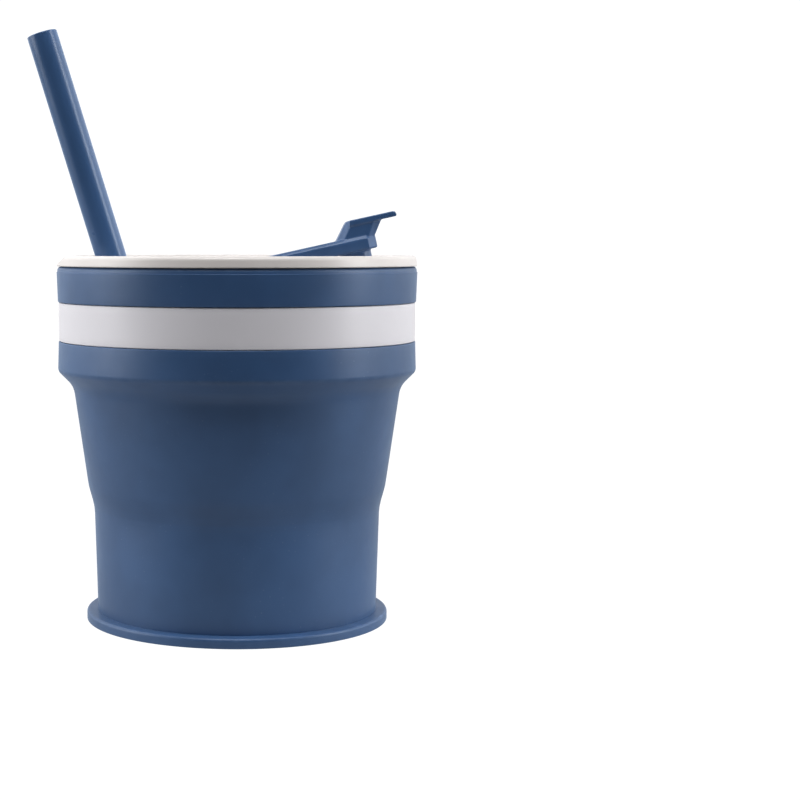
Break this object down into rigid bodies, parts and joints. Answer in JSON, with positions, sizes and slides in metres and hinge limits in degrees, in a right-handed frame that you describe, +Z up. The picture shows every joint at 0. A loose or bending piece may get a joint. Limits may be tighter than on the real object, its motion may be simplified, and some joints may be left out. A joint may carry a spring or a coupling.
{
  "type": "collapsible travel cup",
  "caption": "Collapsible silicone travel cup with a hard grip band, a lidded rim, a swivelling drink-hole stopper and a leaning straw.",
  "frame": {"origin": "centre of the flat underside of the foot", "axes": "+Z up along the cup's own axis; the straw leans out over the -X side and the stopper lies towards +X"},
  "size_m": [0.1023, 0.095, 0.1553],
  "materials": {
    "blue_silicone": "satin",
    "lid_plastic": "smooth, slightly glossy",
    "band_plastic": "smooth satin"
  },
  "bodies": {
    "base": {"cup_base": "blue_silicone"},
    "fold_ring": {"folding_wall": "blue_silicone"},
    "upper": {"upper_wall": "blue_silicone", "grip_band": "band_plastic"},
    "lid": {"lid": "lid_plastic"},
    "straw": {"straw": "blue_silicone"},
    "stopper_peg": {"stopper_peg": "blue_silicone"},
    "stopper": {"stopper": "blue_silicone"}
  },
  "joints": [
    {"name": "collapse", "type": "slide", "parent": "base", "child": "upper", "axis": [0, 0, -1], "range_m": [0, 0.056], "deforming": ["folding_wall"]},
    {"name": "fold_roll", "type": "slide", "parent": "base", "child": "fold_ring", "axis": [0, 0, -1], "range_m": [0, 0.028]},
    {"name": "lid_lift", "type": "slide", "parent": "upper", "child": "lid", "axis": [0, 0, 1], "range_m": [0, 0.11]},
    {"name": "straw_slide", "type": "slide", "parent": "lid", "child": "straw", "axis": [-0.2924, 0, 0.9563], "range_m": [0, 0.0586]},
    {"name": "stopper_swivel", "type": "hinge", "parent": "lid", "child": "stopper_peg", "pos_m": [0, 0, 0.0913], "axis": [0, 0, 1], "range_deg": [-155, 155]},
    {"name": "stopper_tilt", "type": "hinge", "parent": "stopper_peg", "child": "stopper", "pos_m": [0.004, 0, 0.0935], "axis": [0, -1, 0], "range_deg": [0, 85]}
  ],
  "couplings": [
    {"joint": "fold_roll", "follows": "collapse", "ratio": 0.5},
    {"joint": "straw_slide", "follows": "collapse", "ratio": 1.0457}
  ]
}
